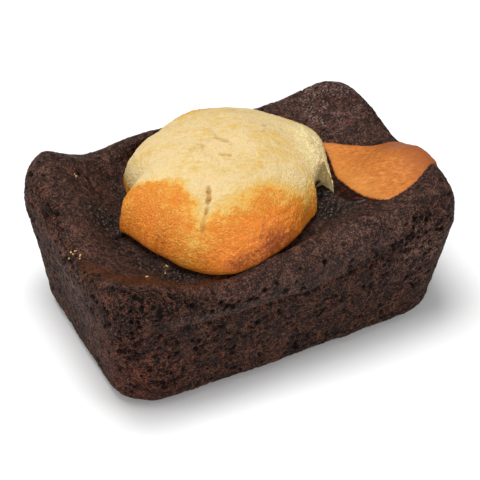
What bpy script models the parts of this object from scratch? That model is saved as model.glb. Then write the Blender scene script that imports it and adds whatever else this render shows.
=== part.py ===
"""A mini marble loaf cake, baked as one piece: a chocolate loaf with raised corners, a vanilla dome that
has burst through its top, and a patch of vanilla that runs over the rim at one end.

Metres. The origin is the middle of the flat base, on the surface that the cake stands on. +X runs along the
loaf to the end with the vanilla patch, +Y to the back long side and +Z up.
"""

import math

import bmesh
import bpy
from mathutils import Matrix, Vector, noise
from mathutils.geometry import intersect_point_line

MM = 0.001
MERGE = 0.05 * MM

# The loaf as its tin shapes it: widest at the shoulder, tapering to the foot
SHOULDER_LENGTH = 96 * MM
SHOULDER_WIDTH = 63 * MM
SHOULDER_HEIGHT = 28.5 * MM
SHOULDER_CORNER_RADIUS = 9 * MM
FOOT_CORNER_RADIUS = 12 * MM
INSET_SHARE_OFF_RADIUS = 0.6
WALL_TAPER = 3.3 * MM
FOOT_ROUNDING = 4 * MM
SIDE_BULGE = 0.7 * MM

# The soft fold that runs along the walls just under the shoulder, and fades out at the corners. Its
# profile is (rise from the fold, push outward), from the last plain level of the wall upward
FOLD_HEIGHT = 25.6 * MM
FOLD_RISE_AT_ENDS = 2.2 * MM
FOLD_FADE_START = 0.45
FOLD_FADE_LENGTH = 0.4
FOLD_PROFILE = (
    (-2.2 * MM, 0.0),
    (-0.7 * MM, -0.8 * MM),
    (0.0, -0.5 * MM),
    (0.5 * MM, 0.4 * MM),
    (1.5 * MM, 0.5 * MM),
)

# The rim that rolls over at the top, and its lifts and dips: (x, y, rise, reach) in mm
RIM_HEIGHT = 35 * MM
RIM_INSET = 5.2 * MM
RIM_FULLNESS = 2.7
RIM_LIFTS = {
    "back left corner": (-41, 26, 6.6, 11),
    "left end, back half": (-44, 12, 2.0, 10),
    "back dip near that corner": (-30, 27, -0.8, 8),
    "back swell": (-12, 27, 2.0, 13),
    "back dip behind the dome": (18, 27, -0.6, 9),
    "back right corner": (41, 26, 3.6, 11),
    "right end, back half": (43, 15, 1.4, 7),
    "right end dip": (43, 2, -1.6, 7),
    "swell under the patch": (43, -11, 3.6, 8),
    "front right corner": (40, -24, 3.4, 12),
    "front swell": (18, -26, 2.0, 11),
    "front sag": (-18, -26, -3.2, 14),
    "front left corner": (-41, -25, 2.6, 9),
}

# The vanilla dome: its lip's radii in mm at equal angles from +X, counterclockwise
DOME_CENTRE = (-3.2 * MM, 0.5 * MM)
DOME_RADII = (
    29.4, 29.8, 28.4, 28.6, 28.0, 27.0, 26.8, 25.4,
    28.4, 26.6, 28.8, 29.0, 26.0, 23.6, 22.4, 22.4,
)
DOME_CROWN = 51.2 * MM
DOME_LIP_RISE = 2.6 * MM
DOME_FULLNESS = 2.3
LOBE_FADE = 3
LIP_OVERHANG = 1.1 * MM
LIP_CLEARANCE = 0.4 * MM
LIP_RAGGEDNESS = 0.5 * MM

# The furrow at the dome's foot rises towards the patch, and stays a little below the rim
FURROW_HEIGHT = 31.5 * MM
FURROW_RISE_AT_PATCH = 1.8 * MM
FURROW_LEAST_DEPTH = 0.8 * MM
FURROW_HALF_WIDTH = 0.3 * MM
FURROW_BACK_HEIGHT = 0.9 * MM
TOP_HOLLOW = 0.6

# The torn hollow at the dome's right edge and the dents round it: (x, y, depth, reach) in mm
DOME_DENTS = {
    "torn hollow": (14.5, -7.5, 1.6, 3.4),
    "left nick": (-28.5, 5.5, 1.4, 2.6),
    "back left dimple": (-12.0, 12.0, 0.8, 4.0),
    "front right dimple": (8.0, -14.0, 0.5, 5.0),
}

# The crack that runs down the dome's front left, in plan in mm
CRACK_PATH = ((-12.4, -8.4), (-15.2, -13.4), (-17.1, -16.0), (-17.9, -18.6), (-19.6, -21.6))
CRACK_DEPTH = 2 * MM
CRACK_WIDTH = 4 * MM

# The patch of vanilla that lies on the top beside the dome and runs over the right rim
PATCH_HEIGHT = 0.5 * MM
PATCH_EDGE = 1.2 * MM
PATCH_LOWEST = 31 * MM
CUT_REACH = 3 * MM
PATCH_OUTLINE = (
    (27.5, 9.5), (34.5, 4.6), (41.0, 0.6), (47.4, -1.4), (47.4, -15.4),
    (41.5, -18.4), (36.2, -20.0), (30.4, -21.4), (27.4, -15.5), (26.6, -3.0),
)

# How finely the loaf is stepped: around it, up its walls, over its rim and across its top
LONG_STEPS = 26
SHORT_STEPS = 16
CORNER_STEPS = 6
FOOT_TURNS = (0, 30, 60)
WALL_STEPS = 7
CREST_STEPS = 5
TOP_STEPS = 7
DOME_STEPS = 15

# How far apart the gentle waves of the walls and the dome are, and how high; the lip's are in radians
WALL_WAVE = 14 * MM
WALL_WAVE_HEIGHT = 0.35 * MM
DOME_WAVE = 9 * MM
DOME_WAVE_HEIGHT = 0.5 * MM
LIP_WAVE = 0.16

CHOCOLATE = ("chocolate_sponge", (0.045, 0.022, 0.016), 0.75)
VANILLA = ("vanilla_sponge", (0.78, 0.42, 0.12), 0.6)


def mix(start, end, share):
    return start + (end - start) * share


def ease(share):
    share = min(1.0, max(0.0, share))
    return share * share * (3 - 2 * share)


def lifts_at(x, y, lifts):
    """The sum of soft round lifts at a point in plan, all in metres."""
    total = 0.0
    for at_x, at_y, rise, reach in lifts.values():
        distance = math.hypot(x - at_x * MM, y - at_y * MM) / (reach * MM)
        total += rise * MM * math.exp(-distance * distance)
    return total


def waves(x, y, z, size, height):
    return height * noise.noise(Vector((x, y, z)) / size)


def rounded_rectangle(half_length, half_width, radius):
    """Points round the outline, counterclockwise from the right end, with each point's outward direction.
    Every outline has the same number of points, so that rings at different levels match."""
    straight_x = half_length - radius
    straight_y = half_width - radius
    points = []
    sides = (
        ((half_length, -straight_y), (half_length, straight_y), SHORT_STEPS, 0),
        ((straight_x, half_width), (-straight_x, half_width), LONG_STEPS, 90),
        ((-half_length, straight_y), (-half_length, -straight_y), SHORT_STEPS, 180),
        ((-straight_x, -half_width), (straight_x, -half_width), LONG_STEPS, 270),
    )
    for (start_x, start_y), (end_x, end_y), steps, facing in sides:
        outward = (math.cos(math.radians(facing)), math.sin(math.radians(facing)))
        for step in range(steps):
            share = step / steps
            points.append(((mix(start_x, end_x, share), mix(start_y, end_y, share)), outward))
        centre = (end_x - radius * outward[0], end_y - radius * outward[1])
        for step in range(CORNER_STEPS):
            angle = math.radians(facing + 90 * step / CORNER_STEPS)
            outward_here = (math.cos(angle), math.sin(angle))
            corner_point = (centre[0] + radius * outward_here[0], centre[1] + radius * outward_here[1])
            points.append((corner_point, outward_here))
    return points


def outline_at(height, inset=0.0):
    """The loaf's outline in plan at a height, drawn in by an inset."""
    share = min(1.0, height / SHOULDER_HEIGHT)
    taper = WALL_TAPER * (1 - share)
    radius = mix(FOOT_CORNER_RADIUS, SHOULDER_CORNER_RADIUS, share)
    half_length = SHOULDER_LENGTH / 2 - taper - inset
    half_width = SHOULDER_WIDTH / 2 - taper - inset
    return rounded_rectangle(half_length, half_width, radius - inset * INSET_SHARE_OFF_RADIUS)


def away_from_corner(x, y):
    """1 along the middle of a wall, falling to 0 at the corners."""
    along_x = abs(x) / (SHOULDER_LENGTH / 2)
    along_y = abs(y) / (SHOULDER_WIDTH / 2)
    return 1 - ease((min(along_x, along_y) - FOLD_FADE_START) / FOLD_FADE_LENGTH)


def wall_point(station, height, push=0.0):
    """A point of the wall at one station and height, pushed outward."""
    (x, y), (out_x, out_y) = outline_at(height)[station]
    mid = math.cos(math.pi / 2 * x / (SHOULDER_LENGTH / 2)) * abs(out_y)
    push += SIDE_BULGE * mid
    push += waves(x, y, height, WALL_WAVE, WALL_WAVE_HEIGHT)
    return Vector((x + out_x * push, y + out_y * push, height))


def fold_height(station):
    (x, y), _ = outline_at(SHOULDER_HEIGHT)[station]
    return FOLD_HEIGHT + FOLD_RISE_AT_ENDS * (x / (SHOULDER_LENGTH / 2)) ** 2


def wall_levels(station):
    """The wall's points at one station, from the foot's rounding up to the shoulder."""
    (x, y), _ = outline_at(SHOULDER_HEIGHT)[station]
    fold = fold_height(station)
    strength = away_from_corner(x, y)
    points = []
    for degrees in FOOT_TURNS:
        turn = math.radians(degrees)
        inset = FOOT_ROUNDING * (1 - math.sin(turn))
        points.append(wall_point(station, FOOT_ROUNDING * (1 - math.cos(turn)), -inset))
    fold_start = fold + FOLD_PROFILE[0][0]
    for step in range(WALL_STEPS - 1):
        points.append(wall_point(station, mix(FOOT_ROUNDING, fold_start, step / (WALL_STEPS - 1))))
    for rise, push in FOLD_PROFILE:
        points.append(wall_point(station, fold + rise, push * strength))
    return points


def crest_levels(station):
    """The rim's points at one station: a quarter turn from the shoulder up and inward to the crest."""
    start = wall_levels(station)[-1]
    (crest_x, crest_y), _ = outline_at(SHOULDER_HEIGHT, RIM_INSET)[station]
    top = RIM_HEIGHT + lifts_at(crest_x, crest_y, RIM_LIFTS)
    points = []
    for step in range(1, CREST_STEPS + 1):
        turn = math.pi / 2 * step / CREST_STEPS
        inward = 1 - math.cos(turn) ** (2 / RIM_FULLNESS)
        upward = math.sin(turn) ** (2 / RIM_FULLNESS)
        points.append(Vector((
            mix(start.x, crest_x, inward),
            mix(start.y, crest_y, inward),
            mix(start.z, top, upward),
        )))
    return points


def dome_radius(angle):
    """The lip's radius at an angle, on a smooth curve through the named radii."""
    place = angle / (2 * math.pi) * len(DOME_RADII)
    start = math.floor(place)
    share = place - start
    before, near, far, after = (DOME_RADII[(start + i) % len(DOME_RADII)] for i in (-1, 0, 1, 2))
    bend = (2 * before - 5 * near + 4 * far - after) * share**2
    swing = (3 * (near - far) + after - before) * share**3
    radius = near + ((far - before) * share + bend + swing) / 2
    return radius * MM + waves(math.cos(angle), math.sin(angle), 0, LIP_WAVE, LIP_RAGGEDNESS)


def dome_direction(crest):
    """The angle from the dome's centre to a point of the rim's crest, and how far that point lies."""
    across = crest.x - DOME_CENTRE[0]
    along = crest.y - DOME_CENTRE[1]
    return math.atan2(along, across), math.hypot(across, along)


def from_dome_centre(angle, radius, height):
    return Vector((
        DOME_CENTRE[0] + radius * math.cos(angle),
        DOME_CENTRE[1] + radius * math.sin(angle),
        height,
    ))


def nearest_on_path(x, y, path):
    """The point of a path, given in mm, that lies nearest to a point in plan, in metres."""
    here = Vector((x, y))
    nearest = []
    for start, end in zip(path, path[1:]):
        share = intersect_point_line(here, Vector(start) * MM, Vector(end) * MM)[1]
        share = min(1.0, max(0.0, share))
        nearest.append(mix(Vector(start), Vector(end), share) * MM)
    return min(nearest, key=lambda spot: (spot - here).length)


def in_patch(x, y):
    """Whether a point in plan lies inside the vanilla patch."""
    inside = False
    for (ax, ay), (bx, by) in zip(PATCH_OUTLINE, PATCH_OUTLINE[1:] + PATCH_OUTLINE[:1]):
        ax, ay, bx, by = ax * MM, ay * MM, bx * MM, by * MM
        if (ay > y) != (by > y) and x < mix(ax, bx, (y - ay) / (by - ay)):
            inside = not inside
    return inside


def faces_beside(shape, start, along, length):
    """The top's faces that lie beside one straight stretch of the patch's border."""
    faces = []
    for face in shape.faces:
        centre = face.calc_center_median()
        offset = (centre - start).xy
        forward = offset.dot(along)
        aside = (offset - along * forward).length
        if centre.z > PATCH_LOWEST and aside < CUT_REACH and -CUT_REACH < forward < length + CUT_REACH:
            faces.append(face)
    return faces


def lay_patch(shape):
    """Cuts the top along the patch's border, colours the faces inside it and raises them a little."""
    for start, end in zip(PATCH_OUTLINE, PATCH_OUTLINE[1:] + PATCH_OUTLINE[:1]):
        start = Vector((*start, 0)) * MM
        reach = Vector((*end, 0)) * MM - start
        along = reach.xy.normalized()
        faces = faces_beside(shape, start, along, reach.length)
        corners = [corner for face in faces for corner in face.loops]
        verts = dict.fromkeys(corner.vert for corner in corners)
        edges = dict.fromkeys(corner.edge for corner in corners)
        across = Vector((-along.y, along.x, 0))
        geometry = [*verts, *edges, *faces]
        bmesh.ops.bisect_plane(shape, geom=geometry, plane_co=start, plane_no=across, dist=MERGE)
    for face in shape.faces:
        centre = face.calc_center_median()
        if centre.z > PATCH_LOWEST and in_patch(centre.x, centre.y):
            face.material_index = 1
    for vert in shape.verts:
        if vert.co.z > PATCH_LOWEST and in_patch(vert.co.x, vert.co.y):
            border = nearest_on_path(vert.co.x, vert.co.y, PATCH_OUTLINE + PATCH_OUTLINE[:1])
            vert.co.z += PATCH_HEIGHT * ease((vert.co.xy - border).length / PATCH_EDGE)


def top_levels(station):
    """The points at one station from the rim's crest down into the furrow and up under the dome's lip."""
    crest = crest_levels(station)[-1]
    angle, reach = dome_direction(crest)
    lip = min(dome_radius(angle), reach - LIP_CLEARANCE)
    furrow = FURROW_HEIGHT + FURROW_RISE_AT_PATCH * crest.x / (SHOULDER_LENGTH / 2)
    furrow = min(furrow, crest.z - FURROW_LEAST_DEPTH)
    points = []
    for step in range(1, TOP_STEPS + 1):
        share = step / (TOP_STEPS + 1)
        radius = mix(reach, lip, share)
        fall = mix(share, ease(share), TOP_HOLLOW)
        points.append(from_dome_centre(angle, radius, mix(crest.z, furrow, fall)))
    points.append(from_dome_centre(angle, lip - FURROW_HALF_WIDTH, furrow))
    points.append(from_dome_centre(angle, lip - LIP_OVERHANG, furrow + FURROW_BACK_HEIGHT))
    points.append(from_dome_centre(angle, lip, furrow + DOME_LIP_RISE))
    return points


def crack_depth(x, y):
    """How deep the crack in the dome is at a point in plan."""
    distance = (nearest_on_path(x, y, CRACK_PATH) - Vector((x, y))).length
    return CRACK_DEPTH * (1 - ease(distance / (CRACK_WIDTH / 2)))


def dome_relief(x, y):
    """How far the dome's surface stands above its plain form at a point in plan."""
    dents = lifts_at(x, y, DOME_DENTS) + crack_depth(x, y)
    return waves(x, y, 0, DOME_WAVE, DOME_WAVE_HEIGHT) - dents


def dome_levels(station):
    """The dome's points at one station, from just above its lip towards its crown."""
    lip = top_levels(station)[-1]
    angle, radius = dome_direction(lip)
    mean_radius = sum(DOME_RADII) / len(DOME_RADII) * MM
    points = []
    for step in range(1, DOME_STEPS + 1):
        share = math.cos(math.pi / 2 * step / (DOME_STEPS + 1))
        rise = (1 - share**DOME_FULLNESS) ** (1 / 2)
        reach = mix(mean_radius, radius, share**LOBE_FADE) * share
        point = from_dome_centre(angle, reach, mix(lip.z, DOME_CROWN, rise))
        point.z += dome_relief(point.x, point.y) * rise
        points.append(point)
    return points


def station_count():
    return 2 * (LONG_STEPS + SHORT_STEPS) + 4 * CORNER_STEPS


def middle_in_plan(mesh):
    """The middle of a mesh's extents in X and Y."""
    xs = [vert.co.x for vert in mesh.vertices]
    ys = [vert.co.y for vert in mesh.vertices]
    return Vector(((min(xs) + max(xs)) / 2, (min(ys) + max(ys)) / 2, 0))


def loaf_mesh():
    """The whole loaf as one closed mesh: rings from the foot up the walls, over the rim, down to the furrow
    and over the dome, bridged ring to ring, with a flat base and a crown point."""
    columns = []
    for station in range(station_count()):
        parts = (wall_levels(station), crest_levels(station), top_levels(station), dome_levels(station))
        columns.append([point for part in parts for point in part])
    first_dome_level = len(columns[0]) - DOME_STEPS

    shape = bmesh.new()
    rings = []
    for level in range(len(columns[0])):
        verts = [shape.verts.new(column[level]) for column in columns]
        edges = [shape.edges.new((verts[i - 1], verts[i])) for i in range(len(verts))]
        rings.append((verts, edges))
    shape.faces.new(reversed(rings[0][0]))
    for level in range(1, len(rings)):
        made = bmesh.ops.bridge_loops(shape, edges=rings[level - 1][1] + rings[level][1])
        for face in made["faces"]:
            face.material_index = int(level >= first_dome_level)
            face.smooth = True
    crown = shape.verts.new(Vector((*DOME_CENTRE, DOME_CROWN + dome_relief(*DOME_CENTRE))))
    for edge in rings[-1][1]:
        face = shape.faces.new((edge.verts[0], edge.verts[1], crown))
        face.material_index = 1
        face.smooth = True
    lay_patch(shape)
    bmesh.ops.recalc_face_normals(shape, faces=shape.faces)
    mesh = bpy.data.meshes.new("loaf")
    shape.to_mesh(mesh)
    shape.free()
    mesh.transform(Matrix.Translation(-middle_in_plan(mesh)))
    return mesh


def sponge_material(name, colour, roughness):
    material = bpy.data.materials.new(name)
    material.use_nodes = True
    surface = material.node_tree.nodes["Principled BSDF"]
    surface.inputs["Base Color"].default_value = (*colour, 1)
    surface.inputs["Roughness"].default_value = roughness
    surface.inputs["Metallic"].default_value = 0
    material.diffuse_color = (*colour, 1)
    return material


def main():
    for old in list(bpy.data.objects):
        bpy.data.objects.remove(old)
    mesh = loaf_mesh()
    for finish in (CHOCOLATE, VANILLA):
        mesh.materials.append(sponge_material(*finish))
    loaf = bpy.data.objects.new("loaf", mesh)
    bpy.context.scene.collection.objects.link(loaf)


main()
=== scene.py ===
import math

import bmesh
import bpy
import numpy as np
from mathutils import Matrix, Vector, noise


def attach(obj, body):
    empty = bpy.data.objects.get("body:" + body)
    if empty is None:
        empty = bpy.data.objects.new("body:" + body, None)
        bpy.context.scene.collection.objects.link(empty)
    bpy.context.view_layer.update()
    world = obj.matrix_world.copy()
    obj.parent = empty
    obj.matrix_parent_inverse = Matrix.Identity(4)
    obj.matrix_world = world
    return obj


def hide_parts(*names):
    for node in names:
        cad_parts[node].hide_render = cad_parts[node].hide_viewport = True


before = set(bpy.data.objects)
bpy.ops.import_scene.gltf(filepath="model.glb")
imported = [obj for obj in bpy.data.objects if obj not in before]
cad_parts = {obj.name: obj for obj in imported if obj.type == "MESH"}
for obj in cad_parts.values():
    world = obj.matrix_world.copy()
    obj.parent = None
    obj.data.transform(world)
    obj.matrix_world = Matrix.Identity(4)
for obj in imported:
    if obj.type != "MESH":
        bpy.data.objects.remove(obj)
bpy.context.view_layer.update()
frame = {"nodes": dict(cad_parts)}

mm = 0.001  # shapes are worked out in mm, and turned into metres when a mesh is made
rng = np.random.default_rng(7)  # every random draw comes from here, so each run gives the same cake

print("frame loaded:", ", ".join(frame["nodes"]))


# helpers for numbers and noise

def mix(a, b, t):
    return a + (b - a) * t


def ease(t):
    t = np.clip(t, 0, 1)
    return t * t * (3 - 2 * t)


def band(value, low, high):  # 0 at low, 1 at high, soft between
    return ease((value - low) / (high - low))


def between(value, start, full, fade, end):  # 1 from full to fade, and 0 before the start and after the end
    return band(value, start, full) * (1 - band(value, fade, end))


def bell(points, spot, reach):  # 1 at a spot, fading with distance; the spot has two or three coordinates
    gap = points[..., :len(spot)] - np.array(spot)
    return np.exp(-(gap**2).sum(-1) / reach**2)


def grain(points, size, shift=0.0, stretch=(1, 1, 1)):  # smooth noise of about -1 to 1
    flat = (points.reshape(-1, 3) * np.array(stretch) / size + shift).tolist()
    return np.array([noise.noise(Vector(p)) for p in flat]).reshape(points.shape[:-1])


def roughGrain(points, size, shift=0.0, octaves=3):  # the same with finer layers on it
    flat = (points.reshape(-1, 3) / size + shift).tolist()
    return np.array([noise.fractal(Vector(p), 0.8, 2.1, octaves) for p in flat]).reshape(points.shape[:-1])


def distanceToPath(points, path):  # in plan, from each point to a path of straight pieces
    best = np.full(points.shape[:-1], 1e9)
    for a, b in zip(path, path[1:]):
        a, b = np.array(a, float), np.array(b, float)
        along = np.clip(((points[..., :2] - a) @ (b - a)) / ((b - a) @ (b - a)), 0, 1)
        gap = points[..., :2] - (a + along[..., None] * (b - a))
        best = np.minimum(best, np.sqrt((gap**2).sum(-1)))
    return best


def signedDistance(points, outline):  # in plan, and below 0 inside the outline
    x, y = points[..., 0], points[..., 1]
    inside = np.zeros(x.shape, bool)
    for a, b in zip(outline, outline[1:] + outline[:1]):
        if a[1] != b[1]:
            reached = a[0] + (b[0] - a[0]) * (y - a[1]) / (b[1] - a[1])
            inside ^= ((a[1] > y) != (b[1] > y)) & (x < reached)
    away = distanceToPath(points, outline + outline[:1])
    return np.where(inside, -away, away)


def softOutline(outline, passes=2):  # cuts an outline's corners until it is a soft curve
    points = [np.array(p, float) for p in outline]
    for _ in range(passes):
        points = [mix(a, b, t) for a, b in zip(points, points[1:] + points[:1]) for t in (0.25, 0.75)]
    return [tuple(p) for p in points]


# helpers for grids of points: rows run up the surface and columns run round it, counterclockwise

def gridNormals(points):
    up = np.gradient(points, axis=0)
    around = np.roll(points, -1, axis=1) - np.roll(points, 1, axis=1)
    normals = np.cross(around, up)
    return normals / np.maximum(np.linalg.norm(normals, axis=-1, keepdims=True), 1e-9)


def scatterPores(points, likely, pore):
    # presses round pores into a grid; gives how deep each point sinks in mm, and how far it is inside a pore
    rows, cols = likely.shape
    sink = np.zeros(likely.shape)
    inside = np.zeros(likely.shape)
    warp = grain(points, pore["warpSize"], 31.7)
    rowGap = np.linalg.norm(np.diff(points, axis=0), axis=-1).mean(axis=1)
    rowGap = np.append(rowGap, rowGap[-1])
    colGap = np.linalg.norm(np.roll(points, -1, axis=1) - points, axis=-1).mean(axis=1)
    for _ in range(pore["tries"]):
        row, col = int(rng.integers(rows)), int(rng.integers(cols))
        radius = pore["smallest"] * (pore["largest"] / pore["smallest"]) ** (rng.random() ** pore["rarity"])
        squash = rng.uniform(*pore["squash"])
        depth = radius * rng.uniform(*pore["depth"])
        if rng.random() > likely[row, col]:
            continue
        reach = radius * 1.5  # a warped pore can be this wide
        high, wide = int(reach / rowGap[row]) + 1, int(reach / colGap[row]) + 1
        near = np.ix_(np.arange(max(0, row - high), min(rows, row + high + 1)),
                      np.arange(col - wide, col + wide + 1) % cols)
        gap = points[near] - points[row, col]
        gap[..., 2] *= squash
        away = np.linalg.norm(gap, axis=-1) / radius * (1 + pore["warp"] * warp[near])
        bowl = ease((1 - away) * pore["steepness"])
        sink[near] = np.maximum(sink[near], depth * bowl)
        inside[near] = np.maximum(inside[near], bowl)
    return sink, inside


def gridMesh(name, points, fields):
    # a closed mesh from a grid: the first and last rows are closed by fans to their middles
    rows, cols = points.shape[:2]
    verts = np.concatenate([points.reshape(-1, 3), [points[0].mean(axis=0), points[-1].mean(axis=0)]]) * mm
    index = np.arange(rows * cols).reshape(rows, cols)
    right = np.roll(index, -1, axis=1)
    faces = np.stack([index[:-1], right[:-1], right[1:], index[1:]], axis=-1).reshape(-1, 4).tolist()
    faces += np.stack([right[0], index[0], np.full(cols, rows * cols)], axis=-1).tolist()
    faces += np.stack([index[-1], right[-1], np.full(cols, rows * cols + 1)], axis=-1).tolist()
    mesh = bpy.data.meshes.new(name)
    mesh.from_pydata(verts.tolist(), [], faces)
    for fieldName, values in fields.items():
        layer = mesh.attributes.new(fieldName, "FLOAT", "POINT")
        ends = [values[0].mean(), values[-1].mean()]
        layer.data.foreach_set("value", np.concatenate([values.ravel(), ends]).astype(np.float32))
    mesh.shade_smooth()
    piece = bpy.data.objects.new(name, mesh)
    bpy.context.scene.collection.objects.link(piece)
    return piece


# helpers for materials

def startMaterial(name):
    material = bpy.data.materials.new(name)
    material.use_nodes = True
    return material, material.node_tree


def node(tree, kind, values=None, **settings):
    made = tree.nodes.new(kind)
    for key, value in settings.items():
        setattr(made, key, value)
    for socket, value in (values or {}).items():
        target = made.inputs[socket]
        if isinstance(value, bpy.types.NodeSocket):
            tree.links.new(value, target)
        else:
            target.default_value = value
    return made


def field(tree, name):  # reads a field that gridMesh stored on the points
    return node(tree, "ShaderNodeAttribute", attribute_name=name).outputs["Fac"]


def math2(tree, operation, a, b=0.0, clamp=False):
    return node(tree, "ShaderNodeMath", {0: a, 1: b}, operation=operation, use_clamp=clamp).outputs[0]


def spread(tree, value, low, high, toLow=0.0, toHigh=1.0):  # maps low..high to toLow..toHigh, softly
    return node(tree, "ShaderNodeMapRange", {0: value, 1: low, 2: high, 3: toLow, 4: toHigh},
                interpolation_type="SMOOTHSTEP").outputs[0]


def times(tree, a, b):
    return math2(tree, "MULTIPLY", a, b)


def weighted(tree, *parts):  # the sum of values, each times its weight
    total, *others = [times(tree, value, weight) for value, weight in parts]
    for part in others:
        total = math2(tree, "ADD", total, part)
    return total


def blendColour(tree, amount, a, b):
    made = node(tree, "ShaderNodeMix", data_type="RGBA", blend_type="MIX")
    for socket, value in (("Factor_Float", amount), ("A_Color", a), ("B_Color", b)):
        target = next(s for s in made.inputs if s.identifier == socket)
        if isinstance(value, bpy.types.NodeSocket):
            tree.links.new(value, target)
        else:
            target.default_value = value
    return next(s for s in made.outputs if s.identifier == "Result_Color")


def placeOf(tree):  # object coordinates
    return node(tree, "ShaderNodeTexCoord").outputs["Object"]


def stirredPlace(tree, warp, warpSize):  # object coordinates, pushed about by noise; both in mm
    where = placeOf(tree)
    stir = node(tree, "ShaderNodeTexNoise", {"Vector": where, "Scale": 1 / (warpSize * mm), "Detail": 1.0})
    centred = node(tree, "ShaderNodeVectorMath", {0: stir.outputs["Color"], 1: (0.5, 0.5, 0.5)},
                   operation="SUBTRACT").outputs[0]
    grown = node(tree, "ShaderNodeVectorMath", {0: centred, "Scale": warp * mm}, operation="SCALE").outputs[0]
    return node(tree, "ShaderNodeVectorMath", {0: where, 1: grown}, operation="ADD").outputs[0]


def noiseOf(tree, size, detail=3.0, roughness=0.6, stretch=(1, 1, 1), turn=0.0):
    # size in mm, and turn in degrees about the upright
    where = placeOf(tree)
    if turn:
        where = node(tree, "ShaderNodeVectorRotate", {"Vector": where, "Angle": -math.radians(turn)},
                     rotation_type="Z_AXIS").outputs[0]
    where = node(tree, "ShaderNodeMapping", {"Vector": where, "Scale": stretch}).outputs[0]
    return node(tree, "ShaderNodeTexNoise", {"Vector": where, "Scale": 1 / (size * mm), "Detail": detail,
                                             "Roughness": roughness}).outputs["Fac"]


def poresOf(tree, size, radius, share, cluster):
    # 1 inside round pores of mixed size; a share of the cells has one, and more where the cluster is high
    cells = node(tree, "ShaderNodeTexVoronoi", {"Vector": stirredPlace(tree, 0.4 * size, 0.6 * size),
                                                "Scale": 1 / (size * mm)})
    lots = node(tree, "ShaderNodeSeparateColor", {0: cells.outputs["Color"]}).outputs
    drawn = math2(tree, "ADD", lots[0], cluster)
    chosen = spread(tree, drawn, 1 - share - 0.04, 1 - share + 0.04)
    reach = times(tree, math2(tree, "ADD", times(tree, lots[1], 0.6), 0.4), radius / size)
    inside = math2(tree, "SUBTRACT", 1.0, math2(tree, "DIVIDE", cells.outputs["Distance"], reach))
    return times(tree, spread(tree, inside, 0.0, 0.25), chosen)


def ramp(tree, value, stops):  # stops are places and colours as a screen shows them
    made = node(tree, "ShaderNodeValToRGB", {"Fac": value})
    bar = made.color_ramp
    while len(bar.elements) < len(stops):
        bar.elements.new(0.5)
    for element, (place, colour) in zip(bar.elements, stops):
        element.position = place
        element.color = fromPhoto(*colour)
    return made.outputs["Color"]


def bump(tree, height, strength, distance):  # distance in mm
    values = {"Height": height, "Strength": strength, "Distance": distance * mm}
    return node(tree, "ShaderNodeBump", values).outputs[0]


def fromPhoto(red, green, blue):  # from a colour as a screen shows it, 0 to 255, to the light it stands for
    linear = [((c / 255 + 0.055) / 1.055) ** 2.4 if c > 10 else c / 255 / 12.92 for c in (red, green, blue)]
    return (*linear, 1)


# the room: a pale floor, soft light and the camera

room = {  # in metres and degrees; the focal length and the shift are in pixels of the photo
    "floorSize": 3.0, "floorColour": (252, 252, 252), "floorRough": 0.9, "worldStrength": 0.18,
    "azimuth": -27.0, "elevation": 39.3, "distance": 0.42, "target": (0, 0, 0.020),
    "pixels": 480, "focal": 1646.4, "shift": (1.3, -5.4), "sensor": 36,
}
lamps = {
    "soft box over the cake": {"place": (-0.08, 0.05, 0.8), "size": 0.4, "power": 5.5},
    "front fill": {"place": (-0.5, -0.8, 0.45), "size": 0.6, "power": 3.0},
    "right fill": {"place": (0.65, -0.55, 0.5), "size": 0.6, "power": 2.2},
    "left fill": {"place": (-0.85, 0.35, 0.25), "size": 0.5, "power": 3.0},
}


def makeRoom():
    half = room["floorSize"] / 2
    mesh = bpy.data.meshes.new("floor")
    corners = [(x * half, y * half, 0) for x, y in ((-1, -1), (1, -1), (1, 1), (-1, 1))]
    mesh.from_pydata(corners, [], [(0, 1, 2, 3)])
    floor = bpy.data.objects.new("floor", mesh)
    bpy.context.scene.collection.objects.link(floor)
    material, tree = startMaterial("paleFloor")
    surface = tree.nodes["Principled BSDF"]
    surface.inputs["Base Color"].default_value = fromPhoto(*room["floorColour"])
    surface.inputs["Roughness"].default_value = room["floorRough"]
    mesh.materials.append(material)

    world = bpy.data.worlds.new("softRoom")
    world.use_nodes = True
    sky = world.node_tree.nodes["Background"]
    sky.inputs["Color"].default_value = (1, 1, 1, 1)
    sky.inputs["Strength"].default_value = room["worldStrength"]
    bpy.context.scene.world = world
    target = Vector(room["target"])
    for name, lamp in lamps.items():
        light = bpy.data.lights.new(name, "AREA")
        light.size, light.energy = lamp["size"], lamp["power"]
        holder = bpy.data.objects.new(name, light)
        holder.location = lamp["place"]
        holder.rotation_euler = (target - holder.location).to_track_quat("-Z", "Y").to_euler()
        bpy.context.scene.collection.objects.link(holder)
    print("floor and", len(lamps), "lamps")


def makeCamera():
    azimuth, elevation = math.radians(room["azimuth"]), math.radians(room["elevation"])
    back = Vector((math.sin(azimuth) * math.cos(elevation), -math.cos(azimuth) * math.cos(elevation),
                   math.sin(elevation)))
    lens = bpy.data.cameras.new("camera")
    lens.sensor_width = room["sensor"]
    lens.lens = room["focal"] / room["pixels"] * room["sensor"]
    lens.shift_x, lens.shift_y = (shift / room["pixels"] for shift in room["shift"])
    lens.clip_start = 0.01
    camera = bpy.data.objects.new("camera", lens)
    camera.location = Vector(room["target"]) + back * room["distance"]
    camera.rotation_euler = (-back).to_track_quat("-Z", "Y").to_euler()
    bpy.context.scene.collection.objects.link(camera)
    bpy.context.scene.camera = camera
    print("camera at", [round(value, 3) for value in camera.location])


# the loaf's form, in mm

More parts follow.
